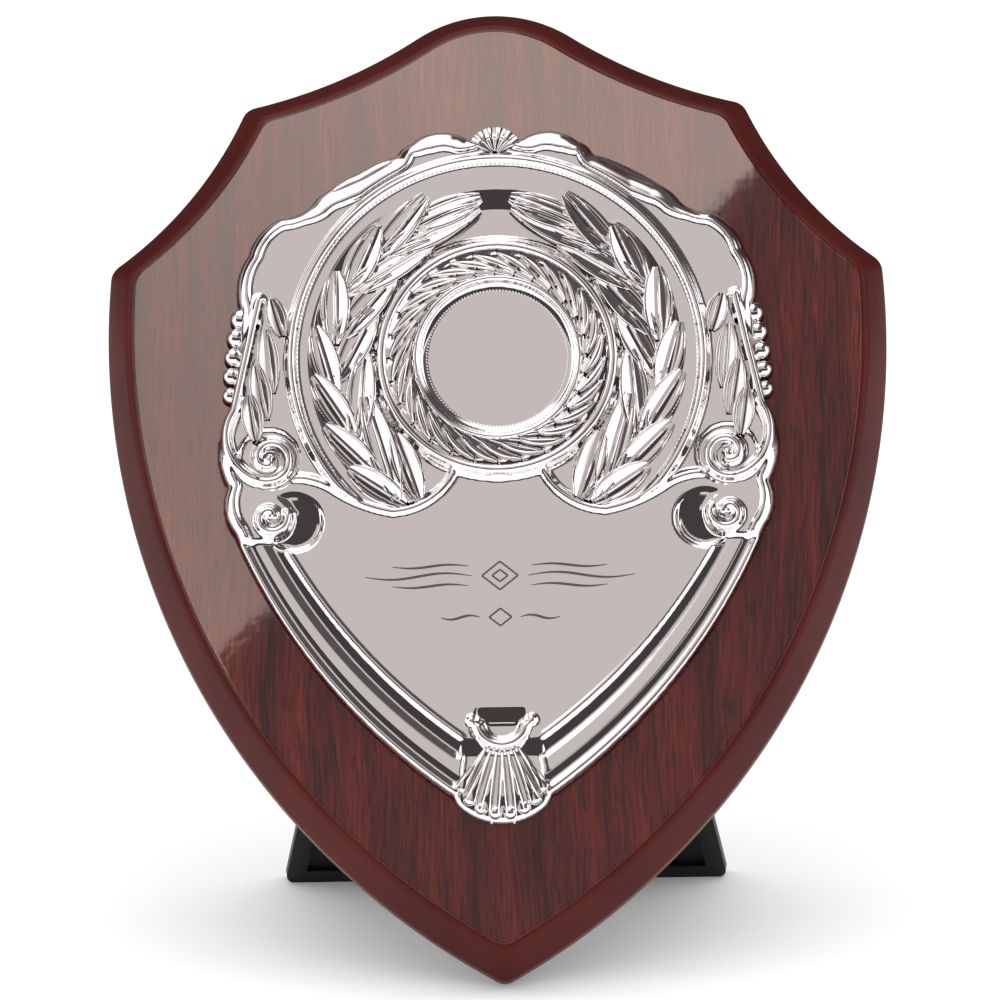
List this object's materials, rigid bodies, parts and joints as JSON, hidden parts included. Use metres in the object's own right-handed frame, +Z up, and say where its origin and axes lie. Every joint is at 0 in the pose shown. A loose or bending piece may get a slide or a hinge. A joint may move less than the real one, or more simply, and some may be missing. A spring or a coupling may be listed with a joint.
{
  "type": "standing shield plaque",
  "caption": "Pointed shield plaque with a bevelled board, a chrome relief front with an engraving field and a folding strut behind.",
  "frame": {"origin": "on the table, under the middle of the outer box of the plaque as it stands on its strut", "axes": "+Z up, front faces -Y, +X to the viewer's right; the board leans back 30 degrees"},
  "size_m": [0.1386, 0.0946, 0.1554],
  "materials": {
    "board_lacquer": "gloss",
    "wood_grain_foil": "gloss",
    "backing_sheet": "matte",
    "chrome_plating": "polished",
    "foam_tape": "matte",
    "black_plastic": "satin",
    "screw_steel": "zinc plated",
    "pin_steel": "drawn wire"
  },
  "bodies": {
    "plaque": {"shield_board": "board_lacquer", "face_foil": "wood_grain_foil", "back_foil": "backing_sheet", "chrome_front": "chrome_plating", "tape_pads": "foam_tape", "strut_plate": "black_plastic", "plate_screws": "screw_steel", "hinge_pin": "pin_steel"},
    "strut": {"strut_leg": "black_plastic"}
  },
  "joints": [
    {"name": "strut_fold", "type": "hinge", "parent": "plaque", "child": "strut", "pos_m": [0, 0.00864, 0.07494], "axis": [-1, 0, 0], "range_deg": [0, 47]}
  ]
}
